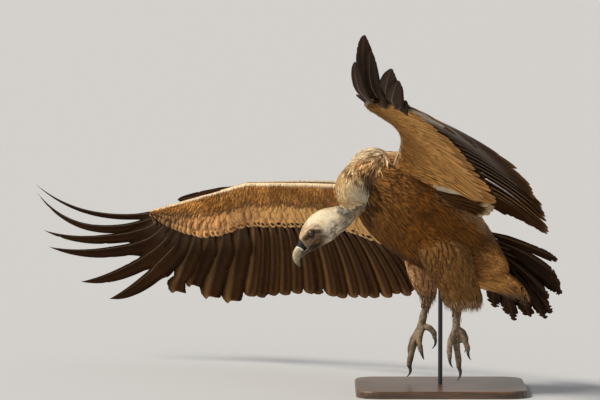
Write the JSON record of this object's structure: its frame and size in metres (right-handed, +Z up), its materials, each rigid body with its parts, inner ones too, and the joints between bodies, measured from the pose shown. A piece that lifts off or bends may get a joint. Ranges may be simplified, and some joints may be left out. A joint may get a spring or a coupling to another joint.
{
  "type": "griffon vulture",
  "caption": "Griffon vulture braking in flight with its wings spread, head lowered and feet hanging, as a still life-size model on a rod and a flat base.",
  "frame": {"origin": "centre of the underside of the stand's base", "axes": "+Z up; the bird faces -X and its left side is towards -Y"},
  "size_m": [1.4813, 2.194, 1.0207],
  "materials": {
    "body_plumage": "soft matt plumage",
    "pale_down": "short cream down",
    "ruff_down": "long cream down",
    "covert_plumage": "small overlapping feathers",
    "flight_feather": "stiff dark vane with a slight sheen",
    "tail_feather": "stiff blackish vane, worn at the tip",
    "horn_bill": "satin horn",
    "cere_skin": "smooth dark skin",
    "eye_gloss": "wet gloss",
    "foot_skin": "grey scaled skin",
    "claw_horn": "polished dark horn",
    "stand_wood": "dark stained, satin",
    "stand_steel": "satin black enamel"
  },
  "bodies": {
    "root": {"trunk": "body_plumage", "undertail_coverts": "body_plumage", "thigh_left": "body_plumage", "thigh_right": "body_plumage", "ruff": "ruff_down", "neck": "pale_down", "head": "pale_down", "cere": "cere_skin", "bill_upper": "horn_bill", "bill_lower": "horn_bill", "eye_left": "eye_gloss", "eye_right": "eye_gloss", "wing_right_arm": "covert_plumage", "wing_right_hand": "covert_plumage", "wing_right_secondaries": "flight_feather", "wing_right_primary_fan": "flight_feather", "wing_right_alula": "flight_feather", "wing_right_primary_5": "flight_feather", "wing_right_primary_6": "flight_feather", "wing_right_primary_7": "flight_feather", "wing_right_primary_8": "flight_feather", "wing_right_primary_9": "flight_feather", "wing_right_primary_10": "flight_feather", "wing_left_arm": "covert_plumage", "wing_left_hand": "covert_plumage", "wing_left_secondaries": "flight_feather", "wing_left_primary_fan": "flight_feather", "wing_left_alula": "flight_feather", "wing_left_primary_5": "flight_feather", "wing_left_primary_6": "flight_feather", "wing_left_primary_7": "flight_feather", "wing_left_primary_8": "flight_feather", "wing_left_primary_9": "flight_feather", "wing_left_primary_10": "flight_feather", "tail_fan": "tail_feather", "tail_outer_left": "tail_feather", "foot_left": "foot_skin", "claw_left_middle": "claw_horn", "claw_left_inner": "claw_horn", "claw_left_outer": "claw_horn", "claw_left_hind": "claw_horn", "foot_right": "foot_skin", "claw_right_middle": "claw_horn", "claw_right_inner": "claw_horn", "claw_right_outer": "claw_horn", "claw_right_hind": "claw_horn", "stand_base": "stand_wood", "stand_rod": "stand_steel"}
  },
  "joints": []
}
